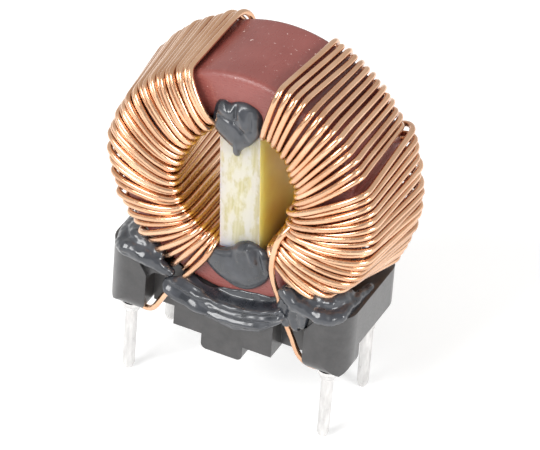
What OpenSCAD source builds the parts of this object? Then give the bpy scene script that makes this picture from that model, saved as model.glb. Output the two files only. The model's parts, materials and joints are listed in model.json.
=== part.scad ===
// Common-mode choke: an upright ferrite ring with two copper windings, a divider
// board in its bore, and a moulded header with four pins.
// Origin: centre of the pin pattern, at the tips of the pins. X runs along the
// long side of the header, Y is the axis of the ring and Z points up.

/* [Ring] */
// Outside diameter of the coated ring
core_od = 21; // [19:0.5:23]
// Bore diameter of the coated ring
core_id = 12.8; // [12.6:0.2:13.6]
// Thickness of the ring along its axis
core_t = 9; // [8:0.25:10]
// Rounding of the ring's edges
core_edge = 0.5; // [0.4:0.1:0.6]
// Turn of the ring about its own axis as it was glued, degrees
ring_lean = -3.5; // [-5:0.5:0]

/* [Windings] */
// Diameter of the enamelled wire
wire_d = 0.5; // [0.4:0.05:0.55]
// Clearance between the wire and what it is wound on
wire_gap = 0.06; // [0.04:0.01:0.1]
// Turns of the right winding, an even number
turns_right = 36; // [20:2:36]
// Turns of the left winding, an even number
turns_left = 38; // [20:2:38]
// Angle from the top of the ring to the right winding, degrees
right_top = 19.7; // [19:0.1:24]
// Angle from the top of the ring to the end of the right winding, degrees
right_end = 143.8; // [138:0.2:145]
// Angle from the top of the ring to the left winding, degrees
left_top = 15.7; // [15:0.1:24]
// Angle from the top of the ring to the end of the left winding, degrees
left_end = 148.4; // [140:0.2:149]
// How far the loosest turns stand off the rim behind
loose_rear = 2.6; // [0:0.1:2.6]
// How far the loosest turns stand off the rim in front
loose_front = 1.2; // [0:0.1:1.4]
// How far the wires bulge in front of the ring's face
bulge = 0.2; // [0.15:0.05:0.4]

/* [Divider] */
// Thickness of the divider board
divider_t = 3.5; // [2.5:0.1:3.6]
// Distance of the board from the ring's axis
divider_shift = 0.25; // [0:0.05:0.3]
// Clearance between the board's edges and the bore
divider_gap = 0.05; // [0.02:0.01:0.1]

/* [Header] */
// Distance between the pins along X
pin_pitch_x = 17.78; // [17:0.02:19]
// Distance between the pins along Y
pin_pitch_y = 7.62; // [7.2:0.02:8]
// Diameter of the pins
pin_d = 1; // [0.6:0.1:1.2]
// How much thicker the pins are where they enter the header
pin_shoulder = 0.2; // [0.1:0.05:0.3]
// Length of the pins below the front feet
pin_free = 7; // [3:0.5:9]
// Length of the pins inside the front feet
pin_grip = 4.5; // [3.5:0.5:5]
// Distance from a pin's axis to the end of the header
pin_edge = 1.91; // [1.7:0.01:2.4]
// How far the header's walls stand out beyond the ring's faces
wall_out = 0.8; // [0.7:0.1:1.2]
// Height of the header from the feet to the top of the legs
header_h = 6; // [5.6:0.1:6.6]
// Radius of the header's upright corners
header_corner = 2; // [1:0.1:2.2]
// Width of each foot along X
foot_len = 3.7; // [3.4:0.1:4]
// Width of each foot along Y
foot_wid = 2.9; // [2.6:0.1:3.4]
// Rounding under the feet
foot_round = 1.2; // [0.6:0.1:1.3]
// How much higher the rear feet end than the front ones
rear_rise = 1.4; // [0.6:0.1:1.6]
// How far the rear feet lie inside the walls
rear_inset = 0.6; // [0.3:0.1:0.8]
// Depth of the wire channels in the front and rear walls
channel_depth = 1.8; // [1.4:0.1:2]
// Width of the open way into each channel
channel_mouth = 1.2; // [0.9:0.1:1.4]
// Height of the channels above the feet
channel_h = 4.3; // [3.8:0.1:4.6]
// Half the width of the centre block
block_half = 4.4; // [4:0.1:4.6]
// Half the width of the pad under the ring
pad_half = 3.4; // [2.8:0.1:3.6]
// Height of the pad's lowest point above the feet
pad_h = 4.35; // [4:0.05:5]
// Clearance between the pad and the ring
pad_gap = 0.15; // [0.05:0.05:0.3]
// Clearance between the saddle and the windings
saddle_gap = 0.28; // [0.2:0.02:0.5]
// Distance of the block's underside above the feet
block_rise = 0.2; // [0:0.1:0.6]
// Width of the key under the centre block
key_len = 3.7; // [2.5:0.1:4.4]
// How far the key reaches below the block
key_drop = 1.4; // [0.8:0.1:2]
// Height of the arch between the feet, at the outer face of the end walls
arch_h = 2.3; // [1.9:0.1:2.6]

/* [Glue] */
// How far the beads on the divider stand out from the ring
bead_h = 0.9; // [0.6:0.1:1.1]
// Radius of the ridges between the ring and the header
ridge_r = 0.55; // [0.4:0.05:0.6]
// Radius of the glue lumps on the front edge of the legs
lump_r = 0.75; // [0.5:0.05:0.8]
// Outside diameter of the solder collars
collar_d = 1.9; // [1.5:0.1:2.1]
// Height of the solder collars
collar_h = 0.6; // [0.4:0.1:0.9]

/* [Hidden] */
$fn = 64;

// A cut reaches this far past the face that it opens
past = 0.5;
core_r = core_od / 2;
bore_r = core_id / 2;
band = core_r - bore_r;
face = core_t / 2;
foot_z = pin_free;
leg_top = foot_z + header_h;
ring_z = foot_z + pad_h + pad_gap + core_r;
wall_y = face + wall_out;
pin_x = pin_pitch_x / 2;
pin_y = pin_pitch_y / 2;
end_x = pin_x + pin_edge;
foot_x = end_x - foot_len;
block_z = foot_z + block_rise;
mouth_x = block_half + channel_mouth / 2;
function foot_bottom(axial) = axial > 0 ? foot_z + rear_rise : foot_z;

// Windings: distance of the wire's centre line from the ring, in the lower layer,
// a little more in the bore, and how much higher the second pass lies behind
stand = wire_d / 2 + wire_gap;
bore_stand = stand + 0.1;
rear_lift = wire_d + wire_gap;
// How deep the bends in front are at the bore, and at the rim where a turn lies tight
bore_bend = 0.9;
rim_bend = 0.65;
// The wire's section is a hexagon with the area of the round wire
wire_sides = 6;
wire_r = wire_d / 2 * sqrt(2 * PI / (wire_sides * sin(360 / wire_sides)));
// Facets round the balls that the glue lumps are made of
ball_sides = 12;
// Saddle under the windings, and where it meets the top of a leg
saddle_r = core_r + 2 * stand + saddle_gap;
saddle_half = sqrt(pow(saddle_r, 2) - pow(ring_z - leg_top, 2));

// A point at radius r and angle a from the top, seen from the front; angles of a
// winding count from the top of the leaning ring towards its own side
function polar(r, a, y) = [r * sin(a), y, ring_z + r * cos(a)];
function on_ring(side, r, a, y) = polar(r, side * a + ring_lean, y);
function unit(v) = v / norm(v);

// How each winding is spread: a table gives, against the share of the turns counted
// from the top, the share of the angle that they take in front, behind and in the bore.
// After the first 14 turns the right one leaves a gap, and its loops lean behind
spread_front = [[[0, 0], [0.63, 0.514], [1, 1]],
    [[0, 0], [0.37, 0.393], [0.4, 0.446], [1, 1]]];
spread_rear = [[[0, 0.039], [0.63, 0.537], [1, 1]],
    [[0, 0.027], [0.37, 0.401], [0.4, 0.417], [0.57, 0.607], [1, 0.984]]];
spread_bore = [[[0, 0], [1, 1]],
    [[0, 0], [0.37, 0.547], [0.4, 0.587], [1, 1]]];
// How far the loops stand off outside, as a share of the loosest one
slack_front = [[[0, 0.1], [0.5, 0.3], [0.63, 0.55], [0.7, 0.25], [1, 0]],
    [[0, 0.1], [0.11, 0.25], [0.23, 0.5], [0.37, 0.6], [0.57, 0.85], [0.77, 1], [0.86, 0.8],
        [0.92, 0.4], [1, 0.05]]];
slack_rear = [[[0, 0], [0.14, 0.02], [0.26, 0.17], [0.4, 0.35], [0.5, 0.42], [0.63, 0.38],
        [0.8, 0.15], [1, 0.04]],
    [[0, 0], [0.17, 0], [0.26, 0.06], [0.37, 0.1], [0.4, 0.42], [0.51, 0.44], [0.63, 0.65],
        [0.77, 0.8], [0.88, 1], [0.92, 1], [0.97, 0.46], [1, 0.2]]];

function row(side) = side > 0 ? 1 : 0;
function turns(side) = side > 0 ? turns_right : turns_left;
function top_angle(side) = side > 0 ? right_top : left_top;
function end_angle(side) = side > 0 ? right_end : left_end;
function share(side, j) = j / (turns(side) - 1);
function spread(table, side, j) = top_angle(side)
    + (end_angle(side) - top_angle(side)) * lookup(share(side, j), table[row(side)]);
// In the bore the first turn lies beside the divider, and so does the last strand
function beside(side) =
    asin((divider_t / 2 + side * divider_shift + stand) / (bore_r - bore_stand)) + 0.3;
function bore_end(side) = side > 0 ? right_end + 7 : 180 - beside(side) - 6.2;
function bore_angle(side, j) = beside(side)
    + (bore_end(side) - beside(side)) * lookup(share(side, j), spread_bore[row(side)]);
// Small unevenness of hand-laid turns, from -1 to 1
function uneven(j) = sin(137.5 * j);

// The first pass runs from the end of the winding to the top on every other place,
// and the second pass comes back over the places between
function place(side, k) = k < turns(side) / 2 ? turns(side) - 1 - 2 * k : 2 * k - turns(side);
function second(side, k) = k >= turns(side) / 2 && k < turns(side);
// A turn of the second pass nests between its neighbours in the bore, and where the
// right winding is crowded every other one of them rides higher still
pile = [[0.3, 0], [0.42, 0.9], [0.75, 0.9], [0.85, 0]];
function nest(side, k) =
    let (j = place(side, k),
        step = (bore_angle(side, j + 1) - bore_angle(side, j - 1)) / 2,
        gap = (bore_r - stand) * step * PI / 180,
        higher = side > 0 ? wire_d * (j / 2 % 2) * lookup(share(side, j), pile) : 0)
    second(side, k) && j > 0 ? sqrt(max(0, pow(wire_d + 0.02, 2) - gap * gap)) + higher : 0;

// One rounded corner behind the ring, three points: outer or inner edge of the ring,
// with the stand-offs sr from the rim and sy from the face. The middle point lies a
// little further out, so that the chords stay clear of the edge
function rear_corner(side, outer, sr, sy, a) =
    let (bend = min(1, core_edge + 1.1 * (sr + sy - 2 * stand)),
        edge_r = outer ? core_r - bend : bore_r + bend)
    [for (i = [0:2])
        let (t = outer ? 90 - i * 45 : i * 45,
            out = i == 1 ? 1.07 : 1)
        on_ring(side, edge_r + (outer ? 1 : -1) * out * (bend + sr) * sin(t), a,
            face - bend + out * (bend + sy) * cos(t))];

// The crossing in front, from the bore to the rim in one bulge: seven points on two
// quarter ellipses that meet at the crest
function crossing(side, sb, so, crest, bend_in, bend_out, a_in, a_out) =
    let (r_in = bore_r - sb,
        r_out = core_r + so,
        wide_in = 0.42 * (r_out - r_in),
        wide_out = r_out - r_in - wide_in,
        from = on_ring(side, r_in, a_in, 0),
        to = on_ring(side, r_out, a_out, 0))
    [for (i = [0:6])
        let (t = i <= 3 ? 30 * i : 180 - 30 * i,
            out = i == 3 ? 1 : 1.03,
            way = i <= 3 ? wide_in * (1 - out * cos(t)) : wide_in + wide_out * out * cos(t),
            bend = i <= 3 ? bend_in : bend_out,
            y = -(face + crest - bend + out * bend * sin(t)),
            p = from + (to - from) * way / (r_out - r_in))
        [p[0], y, p[2]]];

function one_turn(side, k) =
    let (j = place(side, k),
        slack = [lookup(share(side, j), slack_front[row(side)]),
            lookup(share(side, j), slack_rear[row(side)])],
        off_front = loose_front * slack[0] * (1 + 0.08 * uneven(j)),
        off_rear = loose_rear * slack[1] * (1 + 0.05 * uneven(j + 1)),
        a_bore = bore_angle(side, j),
        a_front = spread(spread_front, side, j) + 0.3 * uneven(j + 2) * slack[0],
        a_rear = spread(spread_rear, side, j),
        up = nest(side, k),
        y_rear = stand + (second(side, k) ? rear_lift : 0) + 0.2 * off_rear,
        y_came = stand + (second(side, k - 1) ? rear_lift : 0),
        crest = stand + bulge + 0.5 * up + 0.25 * off_front)
    concat(
        rear_corner(side, false, bore_stand + up, y_came, a_bore),
        crossing(side, bore_stand + up, stand + off_front, crest, bore_bend,
            rim_bend + 0.9 * off_front, a_bore, a_front),
        rear_corner(side, true, stand + off_rear, y_rear, a_rear));

// The lead from a pin up its channel to the ring
function lead(side, axial) =
    let (bottom = foot_bottom(axial),
        channel_y = axial * (wall_y - 0.45 * channel_depth))
    concat(
        [[side * (pin_x - collar_d / 2 - 0.05), axial * pin_y, bottom - wire_d / 2 - wire_gap],
            [side * (foot_x - 0.2), channel_y, bottom - 0.3],
            [side * (foot_x - 0.7), channel_y, bottom + 0.8]],
        axial > 0 ? [[side * (mouth_x + 0.6), face + 0.2, foot_z + 2.6],
            [side * mouth_x, face + 0.3, foot_z + 4.1],
            [side * (mouth_x - 0.3), face + 0.45, foot_z + 5.6]]
        : side < 0 ? [[-mouth_x - 0.2, -face - 0.4, foot_z + 3.85]]
        : [[mouth_x + 0.7, -face - 0.25, foot_z + 2.6],
            [mouth_x - 0.1, -face - 0.4, foot_z + 4.5],
            [mouth_x - 0.5, -face - 0.45, foot_z + 6.2]]);

// The last strand through the bore, to the front lead: on the left it lies beside the
// divider, and on the right it strays over the turns below it
function front_bore(side, sb, sy, a) =
    [for (i = [2:-1:0])
        let (p = rear_corner(side, false, sb, sy, a)[i])
        [p[0], -p[1], p[2]]];
function last_strand(side) = side < 0
    ? concat(
        rear_corner(side, false, bore_stand, stand + rear_lift, 180 - beside(side)),
        front_bore(side, bore_stand, stand + 0.35, 180 - beside(side)))
    : let (over = bore_stand + 1.8 * wire_d)
        concat(
            rear_corner(side, false, over, stand + rear_lift, right_end - 36),
            front_bore(side, over, stand + 0.5, right_end - 32),
            [on_ring(side, bore_r - 1.1, right_end - 18, -face - 1.15),
                on_ring(side, bore_r - 0.35, right_end - 2, -face - 1.25),
                on_ring(side, bore_r + 0.65, right_end + 5.7, -face - 1.25),
                on_ring(side, bore_r + 1.95, right_end + 9.7, -face - 0.8)]);
function reversed(list) = [for (i = [len(list) - 1:-1:0]) list[i]];
function route(side) = concat(
    lead(side, 1),
    [for (k = [0:turns(side) - 1]) each one_turn(side, k)],
    last_strand(side),
    reversed(lead(side, -1)));

// Sweeps the wire's section along a list of points; across(p) stays square to
// the turns, so the section doesn't twist
function across(p) = let (a = atan2(p[0], p[2] - ring_z)) [cos(a), 0, -sin(a)];
function section(route, i, r) =
    let (p = route[i],
        ahead = route[min(i + 1, len(route) - 1)],
        behind = route[max(i - 1, 0)],
        along = unit(ahead - behind),
        flat = across(p),
        side_way = unit(flat - (flat * along) * along),
        out_way = cross(side_way, along))
    [for (s = [0:wire_sides - 1])
        let (t = 360 * s / wire_sides)
        p + r * (cos(t) * out_way + sin(t) * side_way)];

module sweep(route, r) {
    n = wire_sides;
    last = len(route) - 1;
    points = [for (i = [0:last]) each section(route, i, r)];
    walls = [for (i = [0:last - 1], s = [0:n - 1])
        each [
            [i * n + s, (i + 1) * n + s, i * n + (s + 1) % n],
            [(i + 1) * n + s, (i + 1) * n + (s + 1) % n, i * n + (s + 1) % n]]];
    start_cap = [for (s = [1:n - 2]) [0, s, s + 1]];
    end_cap = [for (s = [1:n - 2]) [last * n, last * n + s + 1, last * n + s]];
    polyhedron(points = points, faces = concat(walls, start_cap, end_cap), convexity = 20);
}

module winding_left() {
    color("peru") sweep(route(-1), wire_r);
}

module winding_right() {
    color("peru") sweep(route(1), wire_r);
}

// Turns a shape drawn with its axis along Z so that it lies round the ring's axis
module about_ring() {
    translate([0, 0, ring_z]) rotate([90, 0, 0]) children();
}

// Leans a shape drawn round the ring's centre with the ring
module with_ring() {
    translate([0, 0, ring_z]) rotate([0, ring_lean, 0]) children();
}

// A rectangle with four round corners, by its lowest corner and its size
module round_rect(at, size, r) {
    translate(at) {
        translate([r, 0]) square([size[0] - 2 * r, size[1]]);
        translate([0, r]) square([size[0], size[1] - 2 * r]);
        for (x = [r, size[0] - r], y = [r, size[1] - r])
            translate([x, y]) circle(r);
    }
}

module core_section() {
    round_rect([bore_r, -face], [band, core_t], core_edge);
}

module core() {
    color([0.52, 0.24, 0.22]) about_ring() rotate_extrude($fn = 128) core_section();
}

// The board's long edges reach the bore; it stands a little off the middle
divider_far = divider_t / 2 + divider_shift;
divider_half = sqrt(pow(bore_r, 2) - pow(divider_far, 2)) - divider_gap;

module divider() {
    color([0.82, 0.78, 0.55]) with_ring()
        translate([divider_shift - divider_t / 2, -face, -divider_half])
            cube([divider_t, core_t, 2 * divider_half]);
}

// A solid drawn in the XZ plane and stretched along Y, about the middle
module along_y(width) {
    rotate([90, 0, 0]) translate([0, 0, -width / 2]) linear_extrude(width) children();
}

// A solid drawn in the YZ plane and stretched along X
module along_x(from, width) {
    translate([from, 0, 0]) rotate([90, 0, 90]) linear_extrude(width) children();
}

// The header's outline from above, shrunk by an inset
module outline(inset) {
    round_rect([-end_x + inset, -wall_y + inset], [2 * (end_x - inset), 2 * (wall_y - inset)],
        header_corner - inset);
}

// One front foot, drawn at the +X, +Y corner, rounded below
module foot() {
    intersection() {
        along_y(2 * wall_y)
            round_rect([foot_x, foot_z], [foot_len, header_h + foot_round], foot_round);
        along_x(foot_x, foot_len)
            round_rect([wall_y - foot_wid, foot_z], [foot_wid, header_h + foot_round], foot_round);
        translate([0, 0, foot_z]) linear_extrude(header_h) outline(0);
    }
}

// One rear foot, shorter and inside the walls
module rear_foot() {
    bottom = foot_bottom(1);
    intersection() {
        translate([foot_x, wall_y - foot_wid, bottom])
            cube([foot_len, foot_wid, leg_top - bottom - 1]);
        translate([0, 0, bottom]) linear_extrude(header_h) outline(rear_inset);
    }
}

// The block between the channels, with the key under it
module centre_block() {
    key_z = block_z - key_drop;
    translate([-block_half, -wall_y, block_z])
        cube([2 * block_half, 2 * wall_y, leg_top - block_z]);
    along_y(2 * wall_y)
        round_rect([-key_len / 2, key_z], [key_len, key_drop + 1], 0.5);
}

// One wire channel in the +X half of the +Y wall: an arch with a mouth at its inner end
module channel() {
    from = block_half;
    to = foot_x;
    arch_r = 0.9;
    top = foot_z + channel_h;
    floor_y = wall_y - channel_depth;
    low = foot_z - past;
    translate([0, floor_y + (channel_depth + past) / 2, 0]) along_y(channel_depth + past) {
        translate([from, low]) square([to - from, top - low - arch_r]);
        translate([from, low]) square([to - from - arch_r, top - low]);
        translate([to - arch_r, top - arch_r]) circle(arch_r);
        translate([from, low]) square([channel_mouth, leg_top - low + past]);
    }
}

// The step in the wall above a channel, which leaves the front of each leg proud
module leg_step() {
    step = 0.4;
    low = foot_z + channel_h;
    translate([0, wall_y - step + (step + past) / 2, 0]) along_y(step + past)
        polygon([[block_half - past, low - 1], [foot_x, low - 1], [foot_x, low - 0.3],
            [foot_x + 1.6, leg_top + past], [block_half - past, leg_top + past]]);
}

// The saddle under the windings, with the pad left standing under the ring
module saddle() {
    long = 2 * (wall_y + past);
    difference() {
        about_ring() cylinder(r = saddle_r, h = long, center = true, $fn = 128);
        translate([-pad_half, -long / 2, foot_z]) cube([2 * pad_half, long, header_h]);
    }
    about_ring() cylinder(r = core_r + pad_gap, h = long, center = true, $fn = 128);
}

module each_side() {
    for (mx = [0, 1]) mirror([mx, 0, 0]) children();
}

module each_corner() {
    each_side() for (my = [0, 1]) mirror([0, my, 0]) children();
}

module base() {
    web_inset = 0.35;
    web_drop = 0.45;
    arch_z = foot_z + arch_h;
    floor_z = foot_z + 0.5;
    color([0.22, 0.22, 0.22]) difference() {
        union() {
            intersection() {
                union() {
                    translate([-end_x, -wall_y, arch_z])
                        cube([2 * end_x, 2 * wall_y, leg_top - arch_z]);
                    translate([-foot_x, -wall_y + channel_depth, floor_z])
                        cube([2 * foot_x, 2 * (wall_y - channel_depth), leg_top - floor_z]);
                    centre_block();
                }
                translate([0, 0, foot_z - 2 * key_drop]) linear_extrude(header_h + 2 * key_drop)
                    outline(0);
            }
            // The thinner lower edge of the end walls, from the front feet to the rear
            intersection() {
                translate([-end_x, foot_wid - wall_y - 0.3, arch_z - web_drop])
                    cube([2 * end_x, 2 * wall_y - foot_wid, 1]);
                translate([0, 0, foot_z]) linear_extrude(header_h) outline(web_inset);
            }
            each_side() {
                mirror([0, 1, 0]) foot();
                rear_foot();
            }
        }
        saddle();
        each_corner() channel();
        each_corner() leg_step();
        each_corner() translate([pin_x, pin_y, foot_z - past])
            cylinder(d = pin_d + pin_shoulder, h = pin_grip + past, $fn = 32);
    }
}

// A round pin with a short taper at its tip and a shoulder under the solder
module pin(sx, sy) {
    taper = 0.5;
    shoulder_z = foot_z - collar_h - 0.25;
    color([0.85, 0.85, 0.83]) translate([sx * pin_x, sy * pin_y, 0]) {
        cylinder(d1 = 0.6 * pin_d, d2 = pin_d, h = taper, $fn = 32);
        translate([0, 0, taper]) cylinder(d = pin_d, h = shoulder_z - taper, $fn = 32);
        translate([0, 0, shoulder_z])
            cylinder(d = pin_d + pin_shoulder, h = foot_z + pin_grip - shoulder_z, $fn = 32);
    }
}

// The solder round a pin, straight under its foot
module solder(sx, sy) {
    r = (pin_d + pin_shoulder) / 2;
    rim = collar_d / 2;
    color([0.72, 0.72, 0.70])
        translate([sx * pin_x, sy * pin_y, foot_bottom(sy) - collar_h])
            rotate_extrude($fn = 32)
                polygon([[r, -0.25], [r + 0.08, -0.25], [rim - 0.1, 0.2], [rim, 0.35],
                    [rim - 0.05, collar_h], [r, collar_h]]);
}

// A glue bead on the flat face that the ring and the divider share, as a few rounded
// lobes. Balls are [x, z, radius, height] about the ring's centre; axial is -1 in front
module bead(lobes, axial) {
    color([0.12, 0.12, 0.14]) with_ring() difference() {
        for (balls = lobes)
            hull() for (b = balls)
                translate([b[0], axial * (face + b[3] * bead_h - b[2]), b[1]])
                    sphere(b[2], $fn = ball_sides);
        translate([-core_od, axial > 0 ? face - 2 * core_t : -face, -core_od])
            cube([2 * core_od, 2 * core_t, 2 * core_od]);
    }
}

// The upper one is heart-shaped and ends in a drip
module bead_top(axial) {
    r = bore_r;
    tail = [[0.15, r - 2.1, 0.6, 0.7], [0.35, r - 2.65, 0.35, 0.4]];
    bead([concat([[-1.15, r + 0.5, 0.6, 0.85], [-1, r - 0.5, 0.5, 0.75], [-0.2, r + 0.2, 0.6, 0.9]], tail),
        concat([[1.3, r + 0.75, 0.65, 0.9], [1.3, r - 0.4, 0.55, 0.8], [0.2, r + 0.4, 0.6, 1]], tail)],
        axial);
}

module bead_bottom(axial) {
    r = bore_r;
    bead([[[-1.2, -r - 0.25, 0.7, 0.75], [-0.9, -r - 0.37 * band, 0.8, 0.9], [0.9, 0.2 - r, 0.8, 1],
            [0, -r - 0.44 * band, 0.9, 1]],
        [[0.9, 0.2 - r, 0.8, 1], [2.2, -r - 0.2, 0.85, 0.85], [2.25, -r - 0.24 * band, 0.9, 0.9],
            [0.9, -r - 0.5 * band, 0.9, 1], [0, -r - 0.44 * band, 0.9, 1]]],
        axial);
}

// The way that a lead keeps open through the glue, as far as the strand that follows it
module wire_way(side, axial) {
    turn = one_turn(side, 0);
    strand = reversed(last_strand(side));
    next = axial > 0 ? turn : strand;
    sweep(concat(lead(side, axial), [next[0], next[1]]), wire_r + wire_gap);
}

// Ridged glue on the ring's lower edge and the front of the centre block, one sweep
// about the ring's axis, to a little past the ends of the block
module adhesive(axial) {
    middle_r = core_r + 0.9;
    spread_left = asin((block_half + 0.24) / middle_r);
    spread_right = asin((block_half + 0.78) / middle_r);
    proud = wall_y - face;
    ridge = [[core_r, face + 0.4], [middle_r, wall_y + 0.05], [core_r + 1.75, wall_y]];
    color([0.10, 0.10, 0.12]) difference() {
        about_ring() mirror([0, 0, axial > 0 ? 1 : 0])
            rotate([0, 0, 270 - spread_left])
                rotate_extrude(angle = spread_left + spread_right, $fn = 96) difference() {
                    union() {
                        for (at = ridge) translate(at) circle(ridge_r, $fn = 32);
                        translate([core_r - core_edge, face - core_edge])
                            square([core_edge + ridge_r + 1.15, core_edge + 0.3]);
                        translate([core_r, face]) square([1.8, proud + 0.25]);
                    }
                    core_section();
                    translate([core_r + pad_gap, -face]) square([core_r, face + wall_y]);
                }
        for (side = [-1, 1]) wire_way(side, axial);
    }
}

// Glue lumps along the front edge of a leg, over the mouth of its channel
module seat_glue(side) {
    y = -wall_y;
    low = leg_top - 0.1;
    middle_x = saddle_half + 0.1;
    inner_x = side > 0 ? mouth_x + 0.9 : middle_x - 0.4;
    color([0.12, 0.12, 0.14]) difference() {
        for (lump = [[[inner_x, y - 0.1, leg_top - 0.3, lump_r], [middle_x, y, low, lump_r]],
                [[middle_x, y, low, lump_r], [end_x - 1.4, y + 0.5, low, lump_r],
                    [end_x - 1.6, y + 2.6, leg_top, 0.6 * lump_r]]])
            hull() for (b = lump)
                translate([side * b[0], b[1], b[2]]) sphere(b[3], $fn = ball_sides);
        translate([-2 * end_x, y, leg_top - header_h]) cube([4 * end_x, 2 * wall_y, header_h]);
        about_ring() cylinder(r = core_r + pad_gap, h = core_t + 2 * wire_gap, center = true, $fn = 96);
        wire_way(side, -1);
    }
}

core();
winding_left();
winding_right();
divider();
base();
pin(-1, -1);  // pin_front_left
pin(1, -1);  // pin_front_right
pin(-1, 1);  // pin_rear_left
pin(1, 1);  // pin_rear_right
solder(-1, -1);  // solder_front_left
solder(1, -1);  // solder_front_right
solder(-1, 1);  // solder_rear_left
solder(1, 1);  // solder_rear_right
bead_top(-1);  // bead_top_front
bead_bottom(-1);  // bead_bottom_front
bead_top(1);  // bead_top_rear
bead_bottom(1);  // bead_bottom_rear
adhesive(-1);  // adhesive_front
adhesive(1);  // adhesive_rear
seat_glue(-1);  // seat_glue_left
seat_glue(1);  // seat_glue_right
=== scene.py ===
import json
import math

import bmesh
import bpy
import numpy as np
from mathutils import Matrix, Vector, noise


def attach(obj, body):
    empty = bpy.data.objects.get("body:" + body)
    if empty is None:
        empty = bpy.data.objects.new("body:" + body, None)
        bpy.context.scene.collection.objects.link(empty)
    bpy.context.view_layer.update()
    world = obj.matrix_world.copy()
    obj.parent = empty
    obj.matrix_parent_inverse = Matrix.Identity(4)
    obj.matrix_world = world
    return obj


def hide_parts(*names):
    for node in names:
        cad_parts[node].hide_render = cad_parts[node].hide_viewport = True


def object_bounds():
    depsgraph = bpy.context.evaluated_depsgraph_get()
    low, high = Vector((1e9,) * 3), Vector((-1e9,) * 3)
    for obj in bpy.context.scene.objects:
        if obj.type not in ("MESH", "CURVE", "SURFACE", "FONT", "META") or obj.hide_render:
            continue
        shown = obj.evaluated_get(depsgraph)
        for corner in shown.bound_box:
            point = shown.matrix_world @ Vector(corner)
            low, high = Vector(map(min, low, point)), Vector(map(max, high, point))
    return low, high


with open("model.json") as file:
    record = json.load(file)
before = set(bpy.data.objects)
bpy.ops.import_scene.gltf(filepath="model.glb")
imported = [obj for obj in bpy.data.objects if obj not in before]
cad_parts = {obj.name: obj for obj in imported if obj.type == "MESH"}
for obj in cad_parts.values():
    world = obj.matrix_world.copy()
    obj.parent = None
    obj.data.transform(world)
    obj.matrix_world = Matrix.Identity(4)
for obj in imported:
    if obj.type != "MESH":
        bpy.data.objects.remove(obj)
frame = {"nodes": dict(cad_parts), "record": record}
cad_box = [list(c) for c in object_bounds()]

MM = 0.001

# Sizes in millimetres and degrees, the same as in the CAD source

# The ring: its radii, half its thickness, the rounding of its edges, the height of its axis
# and its turn about that axis
CORE_R, BORE_R, FACE, CORE_EDGE = 10.5, 6.4, 4.5, 0.5
RING_Z, LEAN = 22.0, -3.5
# The divider: its thickness and its distance from the ring's axis
DIVIDER_T, DIVIDER_SHIFT = 3.5, 0.25
# The header: inner ends and undersides of the feet, how much higher the rear ones end, the
# outside of the walls and the middle of the channels' mouths. The pins and their collars
FOOT_X, FOOT_Z, REAR_RISE, WALL_Y, MOUTH_X = 7.1, 7.0, 1.4, 5.3, 5.0
PIN_X, PIN_Y, COLLAR_D = 8.89, 3.81, 1.9
# The wire: its thickness and clearance, how far its middle stands off the ring, a little
# more of that in the bore, and how much higher the second pass lies behind
WIRE_D, WIRE_GAP = 0.5, 0.06
STAND = WIRE_D / 2 + WIRE_GAP
BORE_STAND = STAND + 0.1
REAR_LIFT = WIRE_D + WIRE_GAP
# The windings, left and right: their turns, and where they start and end from the ring's top
TURNS = (38, 36)
TOP_ANGLE, END_ANGLE = (15.7, 19.7), (148.4, 143.8)
# How far the wires bulge in front, and how far the loosest loops stand off the rim
BULGE, LOOSE_FRONT, LOOSE_REAR = 0.2, 1.2, 2.6


# Helpers

def lookup(table, at):
    """The value of a table of pairs, in a straight line between them."""
    return float(np.interp(at, [t[0] for t in table], [t[1] for t in table]))


def clamp(value):
    return min(1, max(0, value))


def bell(distance, width):
    """A bell curve of height 1."""
    return math.exp(-0.5 * (distance / width) ** 2)


def mesh_object(name, verts, faces):
    """A smooth-shaded object of points in metres, with its faces turned outwards."""
    mesh = bpy.data.meshes.new(name)
    mesh.from_pydata([tuple(v) for v in verts], [], [tuple(f) for f in faces])
    mesh.update()
    mesh.validate()
    mesh.polygons.foreach_set("use_smooth", [True] * len(mesh.polygons))
    obj = bpy.data.objects.new(name, mesh)
    bpy.context.scene.collection.objects.link(obj)
    bm = bmesh.new()
    bm.from_mesh(mesh)
    bmesh.ops.recalc_face_normals(bm, faces=bm.faces)
    bm.to_mesh(mesh)
    bm.free()
    return obj


# Windings

# How each winding is spread, left and right: against the share of the turns counted from
# the top, the share of the angle that they take in front, behind and in the bore. These and
# the next tables follow the CAD source, and some rows are finer than there
SPREAD_FRONT = ([(0, 0.046), (0.11, 0.112), (0.22, 0.19), (0.63, 0.514), (0.85, 0.83), (1, 1.035)],
                [(0, 0), (0.085, 0.085), (0.115, 0.126), (0.37, 0.393), (0.4, 0.446), (1, 1)])
SPREAD_REAR = ([(0, 0.039), (0.63, 0.537), (1, 1)],
               [(0, 0.027), (0.37, 0.401), (0.4, 0.417), (0.57, 0.607), (1, 0.984)])
SPREAD_BORE = ([(0, 0), (1, 1)],
               [(0, 0), (0.37, 0.547), (0.4, 0.587), (1, 1)])
# How far the loops stand off outside, as a share of the loosest one
SLACK_FRONT = ([(0, 0.1), (0.5, 0.3), (0.63, 0.55), (0.7, 0.25), (1, 0)],
               [(0, 0.1), (0.11, 0.25), (0.23, 0.5), (0.37, 0.6), (0.57, 0.85), (0.77, 1),
                (0.86, 0.8), (0.92, 0.4), (1, 0.05)])
SLACK_REAR = ([(0, 0.13), (0.14, 0.16), (0.26, 0.27), (0.4, 0.4), (0.5, 0.44), (0.63, 0.38),
               (0.8, 0.15), (1, 0.04)],
              [(0, 0), (0.17, 0), (0.26, 0.06), (0.37, 0.1), (0.4, 0.42), (0.51, 0.44),
               (0.63, 0.65), (0.77, 0.8), (0.88, 1), (0.92, 1), (0.97, 0.46), (1, 0.2)])
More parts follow.
